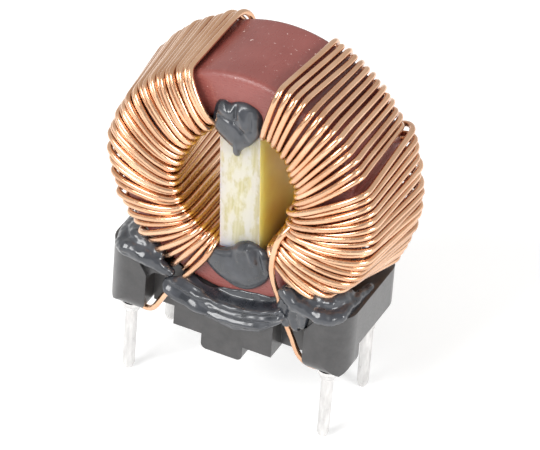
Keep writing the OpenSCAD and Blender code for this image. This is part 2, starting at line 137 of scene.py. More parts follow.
# Where the right winding is crowded in the bore, so that its turns pile up
PILE = [(0.3, 0), (0.42, 0.9), (0.75, 0.9), (0.85, 0)]
# Only in this script, in millimetres: how far the turns hang into the bore at its front edge,
# how much further they bulge in front, and the sway of their bunches
HANG = ([(0, 0), (0.1, 0.3), (0.25, 0.7), (0.45, 0.6), (0.6, 0.3), (0.8, 0)],
        [(0, 0.1), (0.15, 0.3), (0.22, 0.65), (0.38, 0.75), (0.45, 0.3), (0.6, 0.1), (1, 0)])
SWELL = ([(0, 0.3), (0.15, 0.5), (0.4, 0.45), (0.7, 0.25), (1, 0)],
         [(0, 0.1), (0.2, 0.2), (0.4, 0.3), (0.8, 0.25), (1, 0)])
SWAY = ([(0, 0.03), (0.12, 0.15), (0.5, 0.16), (0.8, 0.1), (1, 0)],
        [(0, 0.03), (0.3, 0.08), (0.45, 0.15), (0.85, 0.15), (1, 0.04)])
# Steps in each rounded bend of a wire, how deep the bends in front are at the bore and at the
# rim, how much the second pass bulges over the first, and how far forward a wire may lie
STEPS = 8
BORE_BEND, RIM_BEND = 0.9, 0.95
PASS_OVER = 0.14
MOST_FORWARD = 5.85
# How uneven hand-laid turns are: shares of the slack in front and behind and of the hang,
# millimetres on the rim and at the crest, and degrees in front, in the bore and behind
UNEVEN_FRONT, UNEVEN_REAR, UNEVEN_HANG = 0.08, 0.05, 0.15
UNEVEN_RIM, UNEVEN_CREST = 0.07, 0.06
SHIFT_FRONT, SHIFT_BORE, SHIFT_REAR = 0.3, 0.5, 0.2
GOLDEN_ANGLE = 137.5
# The right winding's last strand, from the bore's front edge over the turns to the adhesive
STRAY = [(5.6, -4.1, 21.1), (5.1, -5.0, 20.4), (4.65, -5.45, 19.7), (4.25, -5.65, 18.8),
         (4.0, -5.7, 17.5), (3.95, -5.65, 16.1), (4.15, -5.45, 14.8)]


def uneven(j):
    """Small unevenness of hand-laid turns, from -1 to 1."""
    return math.sin(math.radians(GOLDEN_ANGLE * j))


class Winding:
    """The route of one winding: the CAD source's, with rounder bends and less even turns.
    The first pass runs from the end of the winding to the top on every other place, and the
    second pass comes back over the places between. Turn k lies at place j from the top."""

    def __init__(self, side):
        self.side = side
        self.row = 1 if side > 0 else 0
        self.turns = TURNS[self.row]
        self.top, self.end = TOP_ANGLE[self.row], END_ANGLE[self.row]
        # In the bore the first turn lies beside the divider, and so does the last strand
        self.beside = math.degrees(math.asin(
            (DIVIDER_T / 2 + side * DIVIDER_SHIFT + STAND) / (BORE_R - BORE_STAND))) + 0.3
        self.bore_end = self.end + 7 if side > 0 else 180 - self.beside - 3

    def at(self, table, j):
        """What this winding's row of a table says for a place."""
        return lookup(table[self.row], j / (self.turns - 1))

    def spread(self, table, j):
        return self.top + (self.end - self.top) * self.at(table, j)

    def bore_angle(self, j):
        return self.beside + (self.bore_end - self.beside) * self.at(SPREAD_BORE, j)

    def place(self, k):
        return self.turns - 1 - 2 * k if k < self.turns / 2 else 2 * k - self.turns

    def second(self, k):
        return self.turns / 2 <= k < self.turns

    def rear_stand(self, k):
        """How far a turn's middle lies behind the ring: the second pass lies on the first."""
        return STAND + (REAR_LIFT if self.second(k) else 0)

    def nest(self, k):
        """How much higher a turn of the second pass lies in the bore: it nests between its
        neighbours, and where the right winding is crowded every other one rides higher still."""
        j = self.place(k)
        if not self.second(k) or j == 0:
            return 0.0
        step = (self.bore_angle(j + 1) - self.bore_angle(j - 1)) / 2
        gap = (BORE_R - STAND) * math.radians(step)
        apart = WIRE_D + 0.02
        higher = WIRE_D * (j // 2 % 2) * lookup(PILE, j / (self.turns - 1)) if self.side > 0 else 0
        return math.sqrt(max(0.0, apart ** 2 - gap * gap)) + higher

    def on_ring(self, r, a, y):
        """The point at a radius and an angle from the top of the leaning ring."""
        a = math.radians(self.side * a + LEAN)
        return np.array([r * math.sin(a), y, RING_Z + r * math.cos(a)])

    def rear_corner(self, outer, sr, sy, a):
        """Round the rim's or the bore's rear edge, sr off the rim or bore and sy off the face."""
        bend = min(1.0, CORE_EDGE + 1.1 * (sr + sy - 2 * STAND))
        edge_r = CORE_R - bend if outer else BORE_R + bend
        points = []
        for i in range(STEPS + 1):
            t = math.radians(90 - 90 * i / STEPS if outer else 90 * i / STEPS)
            points.append(self.on_ring(edge_r + (1 if outer else -1) * (bend + sr) * math.sin(t),
                                       a, FACE - bend + (bend + sy) * math.cos(t)))
        return points

    def crossing(self, sb, so, crest, bend_in, bend_out, a_in, a_out, sway):
        """In front, from sb off the bore to so off the rim, in one bulge of two quarter
        ellipses that meet at the crest. It sways to the side halfway."""
        r_in, r_out = BORE_R - sb, CORE_R + so
        wide_in = 0.42 * (r_out - r_in)
        wide_out = r_out - r_in - wide_in
        start, stop = self.on_ring(r_in, a_in, 0), self.on_ring(r_out, a_out, 0)
        aside = self.on_ring(1, (a_in + a_out) / 2 + 90, 0) - (0, 0, RING_Z)
        points = []
        for i in range(2 * STEPS + 1):
            inner = i <= STEPS
            t = math.radians(90 * i / STEPS if inner else 180 - 90 * i / STEPS)
            way = wide_in * (1 - math.cos(t)) if inner else wide_in + wide_out * math.cos(t)
            bend = bend_in if inner else bend_out
            part = way / (r_out - r_in)
            p = start + (stop - start) * part + aside * sway * math.sin(math.pi * part) ** 2
            p[1] = -(FACE + crest - bend + bend * math.sin(t))
            points.append(p)
        return points

    def one_turn(self, k):
        """Forward through the bore, across the ring's face and over the rim to the rear."""
        j = self.place(k)
        slack = self.at(SLACK_FRONT, j)
        off_front = LOOSE_FRONT * slack * (1 + UNEVEN_FRONT * uneven(j))
        off_rear = LOOSE_REAR * self.at(SLACK_REAR, j) * (1 + UNEVEN_REAR * uneven(j + 1))
        up = self.nest(k)
        hang = self.at(HANG, j) * (1 + UNEVEN_HANG * uneven(2 * j))
        swell = self.at(SWELL, j)
        crest = (STAND + BULGE + 0.4 * up + 0.25 * off_front + (PASS_OVER if self.second(k) else 0)
                 + swell + UNEVEN_CREST * uneven(3 * j + 1))
        # Two waves along the winding gather its turns in bunches
        bunch = math.sin(1.13 * j + 0.8 * self.row) + 0.4 * math.sin(2.7 * j + 1)
        a_bore = self.bore_angle(j)
        return (self.rear_corner(False, BORE_STAND + up, self.rear_stand(k - 1), a_bore)
                + self.crossing(sb=BORE_STAND + up + hang,
                                so=STAND + off_front + UNEVEN_RIM * (1 + uneven(6 * j)),
                                crest=min(crest, MOST_FORWARD - FACE),
                                bend_in=BORE_BEND + 0.5 * swell,
                                bend_out=RIM_BEND + 0.9 * off_front,
                                a_in=a_bore + SHIFT_BORE * uneven(5 * j),
                                a_out=self.spread(SPREAD_FRONT, j) + SHIFT_FRONT * uneven(j + 2) * slack,
                                sway=self.at(SWAY, j) * bunch)
                + self.rear_corner(True, STAND + off_rear + UNEVEN_RIM * (1 + uneven(7 * j)),
                                   self.rear_stand(k) + 0.2 * off_rear,
                                   self.spread(SPREAD_REAR, j) + SHIFT_REAR * uneven(4 * j + 2)))

    def lead(self, axial):
        """From a pin's collar under the foot, up through the channel's mouth, to the ring."""
        bottom = FOOT_Z + (REAR_RISE if axial > 0 else 0)
        under = bottom - WIRE_D / 2 - WIRE_GAP
        s = self.side
        points = [(s * (PIN_X - COLLAR_D / 2 - 0.05), axial * PIN_Y, under),
                  (s * (FOOT_X + 0.05), axial * 3.95, under),
                  (s * (FOOT_X - 0.45), axial * 4.2, bottom + 0.15),
                  (s * (FOOT_X - 0.75), axial * 4.5, bottom + 0.9)]
        if axial > 0:
            points += [(s * (MOUTH_X + 0.6), FACE + 0.2, FOOT_Z + 2.9),
                       (s * MOUTH_X, FACE + 0.3, FOOT_Z + 4.1),
                       (s * (MOUTH_X - 0.3), FACE + 0.45, FOOT_Z + 5.6)]
        elif s < 0:
            points += [(-MOUTH_X - 0.65, -FACE - 0.1, FOOT_Z + 2.25),
                       (-MOUTH_X + 0.2, -FACE - 0.4, FOOT_Z + 3.6)]
        else:
            points += [(MOUTH_X + 0.8, -FACE - 0.3, FOOT_Z + 2.8),
                       (MOUTH_X - 0.1, -FACE - 0.4, FOOT_Z + 4.5),
                       (MOUTH_X - 0.5, -FACE - 0.45, FOOT_Z + 6.2)]
        return [np.array(p) for p in points]

    def last_strand(self):
        """Through the bore to the front lead: on the left beside the divider, and on the right
        over the turns below it."""
        if self.side < 0:
            a = 180 - self.beside
            front = reversed(self.rear_corner(False, BORE_STAND, STAND + 0.35, a))
            return (self.rear_corner(False, BORE_STAND, STAND + REAR_LIFT, a)
                    + [p * (1, -1, 1) for p in front])
        over = BORE_STAND + 1.8 * WIRE_D
        return (self.rear_corner(False, over, STAND + REAR_LIFT, self.end - 38)
                + [np.array(p) for p in STRAY])

    def route(self):
        points = self.lead(1)
        for k in range(self.turns):
            points += self.one_turn(k)
        points += self.last_strand() + self.lead(-1)[::-1]
        return np.array(points)


def resample(points, step):
    """The polyline with evenly spaced points, and how far along it each lies."""
    length = np.r_[0, np.cumsum(np.linalg.norm(np.diff(points, axis=0), axis=1))]
    at = np.linspace(0, length[-1], int(length[-1] / step) + 1)
    return np.stack([np.interp(at, length, points[:, i]) for i in range(3)], 1), at


def smooth(points, rounds):
    """Rounds off a polyline, with its ends kept."""
    p = points.copy()
    for _ in range(rounds):
        p[1:-1] = 0.25 * p[:-2] + 0.5 * p[1:-1] + 0.25 * p[2:]
    return p


def ease_slant(points, rounds, rear_rounds):
    """Spreads each change of direction around the ring over more of the wire, behind over
    most of it, and keeps the wire's distance from the ring."""
    flat = points[:, [0, 2]] - (0, RING_Z)
    r = np.hypot(*flat.T)
    a = np.unwrap(np.arctan2(*flat.T))[:, None]
    rear = np.clip((points[:, 1:2] - 0.6 * FACE) / (0.45 * FACE), 0, 1)
    a = (smooth(a, rounds) * (1 - rear) + smooth(a, rear_rounds) * rear)[:, 0]
    return np.stack([r * np.sin(a), points[:, 1], RING_Z + r * np.cos(a)], 1)


def thin_out(points, most_turn, longest):
    """The numbers of the points to keep: closer together the more the line bends."""
    way = np.diff(points, axis=0)
    step = np.linalg.norm(way, axis=1)
    way /= step[:, None]
    turn = np.r_[0, np.degrees(np.arccos(np.clip((way[1:] * way[:-1]).sum(1), -1, 1)))]
    kept, turned, gone = [0], 0.0, 0.0
    for i in range(1, len(points) - 1):
        turned += turn[i]
        gone += step[i - 1]
        if turned >= most_turn or gone >= longest:
            kept.append(i)
            turned = gone = 0.0
    return kept + [len(points) - 1]


def tube(name, points, radius, along, sides=12):
    """A closed round tube along a polyline, in millimetres. Its attribute "along" says how
    far along the wire each point lies."""
    n = len(points)
    tangent = np.gradient(points, axis=0)
    tangent /= np.linalg.norm(tangent, axis=1)[:, None]
    # Two directions square to the wire, carried along it so that the tube doesn't twist. The
    # first starts from any direction that isn't the wire's own
    u = np.cross(tangent[0], [0.3, 0.2, 0.9])
    u /= np.linalg.norm(u)
    us, vs = [], []
    for t in tangent:
        u = u - (u @ t) * t
        u /= np.linalg.norm(u)
        us.append(u)
        vs.append(np.cross(t, u))
    angle = np.linspace(0, 2 * math.pi, sides, endpoint=False)
    ring = points[:, None] + radius * (np.array(us)[:, None] * np.cos(angle)[None, :, None]
                                       + np.array(vs)[:, None] * np.sin(angle)[None, :, None])
    verts = np.vstack([ring.reshape(-1, 3), points[:1], points[-1:]]) * MM
    faces = []
    for i in range(n - 1):
        a, b = i * sides, (i + 1) * sides
        for s in range(sides):
            t = (s + 1) % sides
            faces.append((a + s, a + t, b + t, b + s))
    first, last = n * sides, n * sides + 1
    base = (n - 1) * sides
    for s in range(sides):
        t = (s + 1) % sides
        faces.append((first, t, s))
        faces.append((last, base + s, base + t))
    obj = mesh_object(name, verts, faces)
    values = np.r_[np.repeat(along, sides), along[0], along[-1]].astype(np.float32)
    obj.data.attributes.new("along", "FLOAT", "POINT").data.foreach_set("value", values)
    return obj


def winding(name, side):
    """One wire with its leads, kept inside the CAD model's box. The tube is a little thicker
    than the wire, because its flats lie inside its radius."""
    path, at = resample(Winding(side).route(), step=0.1)
    path = ease_slant(smooth(path, rounds=12), rounds=90, rear_rounds=220)
    radius, margin = WIRE_D / 2 + 0.01, 0.01
    inside = np.array(cad_box) / MM + np.outer((1, -1), [radius + margin] * 3)
    path = np.clip(path, *inside)
    kept = thin_out(path, most_turn=6.5, longest=0.9)
    return tube(name, path[kept], radius, at[kept])


# Glue

# How far the beads' domes rise, and how deep glue reaches into what it sits on
BEAD_H = 0.75
SINK = 0.02
# The beads: their middles and outlines on the ring's face, as x and z, and the strokes
# pressed into them or raised on them, as x, z, x, z, width and height
TOP_BEAD = {
    "centre": (-0.25, 28.3),
    "outline": [
        (-2.1, 29.75), (-1.6, 29.95), (-1.1, 29.85), (-0.5, 30.15), (0.15, 30.3), (0.8, 30.2),
        (1.4, 29.9), (1.75, 29.4), (1.85, 28.6), (1.75, 27.9), (1.4, 27.1), (0.9, 26.45),
        (0.4, 26.0), (0.15, 25.6), (0.05, 25.2), (-0.15, 25.05), (-0.4, 25.2), (-0.35, 25.6),
        (-0.85, 26.0), (-1.6, 26.5), (-2.15, 27.05), (-2.45, 27.6), (-2.45, 28.4), (-2.35, 29.2)],
    "strokes": [
        (-1.8, 29.35, -0.8, 29.4, 0.2, 0.16), (0.0, 29.75, 0.55, 28.4, 0.2, 0.2),
        (-0.42, 30.0, -0.35, 29.0, 0.12, -0.26), (-1.7, 28.75, -0.5, 28.5, 0.12, -0.14),
        (-0.5, 28.5, 0.3, 27.9, 0.13, -0.14), (0.3, 27.9, 0.9, 26.9, 0.15, -0.12),
        (0.9, 29.7, 1.05, 28.2, 0.12, -0.16), (1.4, 29.4, 1.5, 28.2, 0.16, 0.08)]}
LOW_BEAD = {
    "centre": (1.0, 15.0),
    "outline": [
        (-2.6, 14.8), (-1.9, 15.5), (-0.9, 15.8), (-0.1, 16.15), (0.45, 16.8), (1.0, 17.15),
        (1.6, 17.3), (2.15, 17.2), (2.6, 16.95), (3.2, 16.7), (3.6, 16.1), (3.6, 15.0),
        (3.3, 14.1), (2.75, 13.35), (2.0, 12.75), (1.3, 12.5), (0.5, 12.5), (-0.4, 12.8),
        (-1.3, 13.2), (-2.1, 13.9)],
    "strokes": [
        (0.75, 16.6, 1.6, 16.8, 0.15, 0.15), (1.6, 16.8, 2.2, 15.7, 0.15, 0.2),
        (2.3, 16.8, 3.0, 14.7, 0.16, -0.24), (2.9, 16.3, 3.3, 15.3, 0.12, 0.1),
        (0.2, 16.1, 0.6, 15.3, 0.22, -0.1)]}
# The ridged glue between the ring and the header, against the angle from straight down: its
# upper and its lower edge, and the radii where its ridges lie, all about the ring's axis
GLUE_FROM, GLUE_TO = -27, 28
GLUE_TOP = [(-27, 11.8), (-25, 11.2), (-22, 10.6), (-18, 10.4), (-12, 10.5), (-7, 10.45), (-3, 10.1),
            (6, 9.8), (15, 9.85), (21, 10.1), (25, 10.1), (28, 10.7)]
GLUE_LOW = [(-27, 12.2), (-24, 12.8), (-20, 13.0), (-8, 13.0), (-2, 13.1), (4, 13.25), (11, 13.1),
            (16, 12.9), (21, 12.4), (25, 12.1), (28, 11.6)]
RIDGES = (10.9, 11.6, 12.35)
# How far from the ring's middle plane the ridged glue and the seat glue may reach
RIDGE_REACH, SEAT_REACH = 6.05, 6.1
# The seat glue, as rows of balls x, y, z, radius. The right one hangs over the mouth of its
# channel in a film, and the left one stays on the leg
SEAT_RIGHT = [
    [(5.3, -5.15, 14.1, 0.75), (6.1, -5.3, 13.5, 0.75), (7.0, -5.3, 13.3, 0.7), (7.7, -5.25, 13.0, 0.6),
     (8.4, -5.3, 13.0, 0.7), (9.2, -5.1, 12.95, 0.6), (9.8, -4.6, 13.1, 0.6), (9.95, -3.4, 13.2, 0.55),
     (10.0, -2.2, 13.2, 0.5), (10.05, -1.0, 13.0, 0.5), (10.1, 0.2, 12.8, 0.45), (10.1, 1.2, 12.6, 0.35)],
    [(6.4, -4.8, 13.5, 0.75), (7.6, -4.4, 13.6, 0.85), (8.6, -4.1, 13.7, 0.9), (9.2, -3.2, 13.6, 0.8),
     (9.4, -2.2, 13.5, 0.6)],
    [(5.2, -4.95, 13.1, 0.6), (4.95, -4.95, 12.3, 0.55), (5.1, -4.9, 11.4, 0.5), (5.3, -4.85, 10.8, 0.42)],
    [(6.0, -5.0, 12.9, 0.65), (5.9, -4.95, 12.0, 0.6), (6.1, -4.9, 11.1, 0.5), (6.2, -4.85, 10.75, 0.4)],
    [(6.9, -5.1, 12.9, 0.6), (6.8, -5.0, 12.0, 0.55), (6.8, -4.95, 11.3, 0.42)]]
SEAT_LEFT = [
    [(-5.1, -5.0, 11.9, 0.45), (-5.8, -5.05, 12.3, 0.6), (-6.6, -5.1, 12.7, 0.75), (-7.4, -5.2, 12.95, 0.8),
     (-8.2, -5.1, 13.0, 0.75), (-9.0, -5.1, 13.0, 0.75), (-9.6, -4.6, 13.0, 0.7), (-9.85, -3.6, 13.2, 0.65),
     (-9.9, -2.6, 13.3, 0.6), (-9.9, -1.6, 13.3, 0.45)],
    [(-6.4, -4.7, 13.2, 0.65), (-7.4, -4.4, 13.5, 0.85), (-8.4, -4.1, 13.7, 0.95), (-9.1, -3.3, 13.6, 0.8),
     (-9.4, -2.2, 13.4, 0.6)]]


def closed_spline(points, count):
    """A smooth closed line through the points, as evenly numbered steps."""
    p = np.array(points, float)
    n = len(p)
    line = []
    for i in range(count):
        k, t = divmod(i * n / count, 1)
        a, b, c, d = (p[(int(k) + m) % n] for m in (-1, 0, 1, 2))
        line.append(0.5 * (2 * b + (c - a) * t + (2 * a - 5 * b + 4 * c - d) * t ** 2
                           + (3 * b - a - 3 * c + d) * t ** 3))
    return np.array(line)


def from_stroke(x, z, x1, z1, x2, z2):
    """Distance of a point from a short straight stroke."""
    along = (x2 - x1, z2 - z1)
    t = clamp(((x - x1) * along[0] + (z - z1) * along[1]) / (along[0] ** 2 + along[1] ** 2))
    return math.hypot(x - x1 - t * along[0], z - z1 - t * along[1])


def stroke_height(x, z, strokes):
    return sum(height * bell(from_stroke(x, z, *line), width) for *line, width, height in strokes)


def bead(name, axial, centre, outline, strokes):
    """A glue bead on the ring's face: an outline and a dome with strokes in it."""
    sides, rings = 160, 40
    rim = closed_spline(outline, sides)
    verts = [(x, axial * (FACE - SINK), z) for x, z in rim]
    for i in range(rings):
        t = i / rings
        dome = (1 - (1 - t) ** 2.6) ** 0.5
        for x0, z0 in rim:
            x, z = x0 + (centre[0] - x0) * t, z0 + (centre[1] - z0) * t
            relief = stroke_height(x, z, strokes) + 0.05 * noise.noise((x * 1.1, axial * 9, z * 1.1))
            verts.append((x, axial * (FACE + SINK + dome * (BEAD_H + relief)), z))
    tip = FACE + SINK + BEAD_H + stroke_height(*centre, strokes)
    verts += [(centre[0], axial * y, centre[1]) for y in (tip, FACE - SINK)]
    faces = []
    for i in range(rings):
        for k in range(sides):
            a, b = i * sides + k, i * sides + (k + 1) % sides
            faces.append((a, b, b + sides, a + sides))
    top, back, last = len(verts) - 2, len(verts) - 1, rings * sides
    for k in range(sides):
        faces.append((last + k, last + (k + 1) % sides, top))
        faces.append(((k + 1) % sides, k, back))
    return mesh_object(name, np.array(verts) * MM, faces)


def ridge_height(angle, r, axial):
    """The ridged glue's thickness: a lumpy film with three ridges that swell and shrink. At
    the left the upper ridge stands free of the ring and the lower one is a wide lip."""
    hollow = clamp((-6 - angle) / 6)
    swell = 1 + 0.45 * noise.noise((angle * 0.16, 7.0, axial))
    upper = RIDGES[0] + 0.2 * hollow + 0.1 * noise.noise((angle * 0.1, 1.0, axial))
    middle = RIDGES[1] + 0.15 * noise.noise((angle * 0.1, 5.0, axial))
    ridges = (0.36 * swell * bell(r - upper, 0.2)
              + 0.3 * (2 - swell) * (1 - hollow) * bell(r - middle, 0.16)
              + (0.34 + 0.16 * hollow) * swell * bell(r - RIDGES[2], 0.22 + 0.22 * hollow))
    film = 0.2 - 0.17 * hollow * clamp((11.2 - r) / 0.3)
    lump = 0.1 * noise.noise((angle * 0.25, r * 1.1, axial * 5))
    return film + ridges + lump


def adhesive(name, axial):
    """The ridged glue: a grid of angles and steps down the profile, thickened to a solid that
    lies on the ring's face above and on the header's wall below, and thins out all round."""
    columns, steps, thinnest, taper = 150, 54, 0.03, 2.5
    on_face, on_wall = 10.35, 10.8
    front, back = [], []
    for i in range(columns + 1):
        angle = GLUE_FROM + (GLUE_TO - GLUE_FROM) * i / columns
        r_top = lookup(GLUE_TOP, angle)
        r_low = lookup(GLUE_LOW, angle) + 0.12 * noise.noise((angle * 0.12, 3.0, axial))
        end = min(1, (angle - GLUE_FROM) / taper, (GLUE_TO - angle) / taper) ** 0.5
        for k in range(steps + 1):
            share = k / steps
            r = r_top + (r_low - r_top) * share
            rise = clamp((r - on_face) / (on_wall - on_face))
            under = FACE + (WALL_Y - FACE) * rise * rise * (3 - 2 * rise)
            edge = math.sqrt(min(1, 6 * share, 6 * (1 - share))) * end
            y = under + thinnest + edge * max(thinnest, ridge_height(angle, r, axial))
            t = math.radians(angle)
            x, z = r * math.sin(t), RING_Z - r * math.cos(t)
            front.append((x, axial * min(y, RIDGE_REACH), z))
            back.append((x, axial * (under - thinnest), z))
    return slab(name, front, back, columns + 1, steps + 1)


def slab(name, front, back, columns, rows):
    """A closed solid between two grids of points with the same layout."""
    faces, n = [], columns * rows
    for i in range(columns - 1):
        for k in range(rows - 1):
            a = i * rows + k
            faces.append((a, a + 1, a + rows + 1, a + rows))
            faces.append((n + a, n + a + rows, n + a + rows + 1, n + a + 1))
    border = [i * rows for i in range(columns)]
    border += [(columns - 1) * rows + k for k in range(1, rows)]
    border += [i * rows + rows - 1 for i in range(columns - 2, -1, -1)]
    border += list(range(rows - 2, 0, -1))
    for i, a in enumerate(border):
        b = border[(i + 1) % len(border)]
        faces.append((a, b, n + b, n + a))
    return mesh_object(name, np.array(front + back) * MM, faces)


def fill_up(balls):
    """The balls with four more of them between each and the next."""
    steps = 5
    more = []
    for a, b in zip(balls, balls[1:]):
        for i in range(steps):
            more.append([p + (q - p) * i / steps for p, q in zip(a, b)])
    return more + [list(balls[-1])]


def seat_glue(name, rows):
    """Rows of balls melted into one uneven lump."""
    voxel, rounds, unevenness = 0.1, 6, 0.12
    bm = bmesh.new()
    for row in rows:
        for *place, r in fill_up(row):
            bmesh.ops.create_icosphere(bm, subdivisions=2, radius=r, matrix=Matrix.Translation(place))
    mesh = bpy.data.meshes.new(name)
    bm.to_mesh(mesh)
    bm.free()
    raw = bpy.data.objects.new(name + "_raw", mesh)
    bpy.context.scene.collection.objects.link(raw)
    remesh = raw.modifiers.new("melt", "REMESH")
    remesh.mode = "VOXEL"
    remesh.voxel_size = voxel
    shape = raw.evaluated_get(bpy.context.evaluated_depsgraph_get()).to_mesh()
    bm = bmesh.new()
    bm.from_mesh(shape)
    bpy.data.objects.remove(raw)
    for _ in range(rounds):
        bmesh.ops.smooth_vert(bm, verts=bm.verts, factor=0.5, use_axis_x=True, use_axis_y=True,
                              use_axis_z=True)
    bm.normal_update()
    for v in bm.verts:
        v.co += v.normal * unevenness * (noise.noise(v.co * 0.9) + 0.5 * noise.noise(v.co * 2.3))
        v.co.y = max(v.co.y, -SEAT_REACH)
    bm.verts.index_update()
    obj = mesh_object(name, [v.co * MM for v in bm.verts], [[v.index for v in f.verts] for f in bm.faces])
    bm.free()
    return obj


# Materials

class Nodes:
    """A material whose shader is one Principled BSDF, with helpers to wire it."""

    def __init__(self, name):
        self.mat = bpy.data.materials.new(name)
        self.mat.use_nodes = True
        self.tree = self.mat.node_tree
        self.tree.nodes.clear()
        out = self.tree.nodes.new("ShaderNodeOutputMaterial")
        self.bsdf = self.tree.nodes.new("ShaderNodeBsdfPrincipled")
        self.tree.links.new(self.bsdf.outputs[0], out.inputs[0])

    def node(self, kind, **values):
        n = self.tree.nodes.new("ShaderNode" + kind)
        for key, value in values.items():
            setattr(n, key, value)
        return n

    def link(self, source, target):
        self.tree.links.new(source, target)

    def shade(self, source, name):
        """Links a node's output to an input of the shader."""
        self.link(source, self.bsdf.inputs[name])

    def set(self, **values):
        """Sets inputs of the shader that are the same all over."""
        for key, value in values.items():
            self.bsdf.inputs[key.replace("_", " ")].default_value = value

    def coords(self, scale=(1, 1, 1)):
        """Object coordinates in millimetres, times a scale."""
        tc = self.node("TexCoord")
        mp = self.node("Mapping")
        mp.inputs["Scale"].default_value = [1000 * s for s in scale]
        self.link(tc.outputs["Object"], mp.inputs["Vector"])
        return mp.outputs["Vector"]

    def noise(self, vector, scale, detail=3.0, rough=0.5):
        n = self.node("TexNoise")
        n.inputs["Scale"].default_value = scale
        n.inputs["Detail"].default_value = detail
        n.inputs["Roughness"].default_value = rough
        self.link(vector, n.inputs["Vector"])
        return n.outputs["Fac"]

    def ramp(self, fac, stops):
        """A colour ramp of (position, colour or grey) stops."""
        r = self.node("ValToRGB")
        ramp = r.color_ramp
        while len(ramp.elements) < len(stops):
            ramp.elements.new(0.5)
        for e, (pos, col) in zip(ramp.elements, stops):
            e.position = pos
            e.color = (*col, 1) if not isinstance(col, float) else (col, col, col, 1)
        self.link(fac, r.inputs["Fac"])
        return r.outputs["Color"]

    def mix(self, fac, a, b, blend="MIX"):
        """Mixes two colours. Inputs 6 and 7 of the node are its colours, and output 2 is too."""
        m = self.node("Mix", data_type="RGBA", blend_type=blend)
        for value, socket in ((fac, m.inputs[0]), (a, m.inputs[6]), (b, m.inputs[7])):
            if isinstance(value, bpy.types.NodeSocket):
                self.link(value, socket)
            elif isinstance(value, tuple):
                socket.default_value = (*value, 1)
            else:
                socket.default_value = value
        return m.outputs[2]

    def bump(self, height, strength, distance, normal=None):
        b = self.node("Bump")
        b.inputs["Strength"].default_value = strength
        b.inputs["Distance"].default_value = distance * MM
        self.link(height, b.inputs["Height"])
        if normal is not None:
            self.link(normal, b.inputs["Normal"])
        return b.outputs["Normal"]

    def rounded_edges(self, radius):
        """Normals that round sharp edges off, by a radius in millimetres."""
        edge = self.node("Bevel", samples=6)
        edge.inputs["Radius"].default_value = radius * MM
        return edge.outputs[0]


def copper():
    """Bright wire with a clear coat: it differs a little from patch to patch and from turn to
    turn, has painted shade in the gaps between turns, and has pale specks."""
    m = Nodes("copper")
    space = m.coords()
    patches = m.noise(space, 0.35, 2.0)
    fine = m.noise(space, 3.0, 4.0)
    tint = m.ramp(patches, [(0.3, (0.80, 0.45, 0.26)), (0.7, (0.93, 0.59, 0.385))])
    along = m.node("Attribute", attribute_name="along")
    turns = m.node("TexNoise", noise_dimensions="1D")
    turns.inputs["Scale"].default_value = 0.035
    turns.inputs["Detail"].default_value = 2.0
    m.link(along.outputs["Fac"], turns.inputs["W"])
    shade = m.ramp(turns.outputs["Fac"], [(0.38, (0.80, 0.75, 0.71)), (0.6, (1.0, 1.0, 1.0))])
    tint = m.mix(1.0, tint, shade, "MULTIPLY")
    # Painted shade: an ambient occlusion mask darkens the colour where turns crowd each other
    gaps = m.node("AmbientOcclusion", samples=4, only_local=True)
    gaps.inputs["Distance"].default_value = 0.4 * MM
    painted_gap_shade = m.ramp(gaps.outputs["AO"], [(0.2, (0.62, 0.52, 0.46)), (0.7, (1.0, 1.0, 1.0))])
    tint = m.mix(1.0, tint, painted_gap_shade, "MULTIPLY")
    specks = m.noise(space, 9.0, 2.0, 0.7)
    speck_mask = m.ramp(specks, [(0.68, 0.0), (0.72, 1.0)])
    m.shade(m.mix(speck_mask, tint, (0.90, 0.76, 0.60)), "Base Color")
    m.set(Metallic=1.0, Coat_Weight=0.5, Coat_Roughness=0.12, Coat_IOR=1.5)
    m.shade(m.ramp(fine, [(0.35, 0.17), (0.7, 0.32)]), "Roughness")
    m.shade(m.bump(fine, 0.2, 0.02), "Normal")
    return m.mat


def core_coat():
    """Maroon epoxy with paler streaks, and pale specks of two sizes."""
    m = Nodes("core_coat")
    space = m.coords()
    clouds = m.noise(space, 0.25, 3.0)
    colour = m.ramp(clouds, [(0.35, (0.245, 0.062, 0.052)), (0.7, (0.300, 0.086, 0.074))])
    streaks = m.noise(m.coords((0.8, 0.3, 3.0)), 2.0, 5.0, 0.7)
    colour = m.mix(m.ramp(streaks, [(0.55, 0.0), (0.8, 0.35)]), colour, (0.42, 0.17, 0.15))
    edge = m.rounded_edges(0.5)
    for scale, low, high in ((1.8, 0.745, 0.765), (4.0, 0.705, 0.72)):
        specks = m.noise(space, scale, 2.0, 0.6)
        mask = m.ramp(specks, [(low, 0.0), (high, 1.0)])
        colour = m.mix(mask, colour, (0.78, 0.56, 0.52))
    m.shade(colour, "Base Color")
    m.shade(m.ramp(streaks, [(0.3, 0.22), (0.7, 0.40)]), "Roughness")
    # The finer specks stand out a little
    m.shade(m.bump(streaks, 0.35, 0.05, m.bump(specks, 0.4, 0.05, edge)), "Normal")
    m.set(Specular_IOR_Level=0.6)
    return m.mat


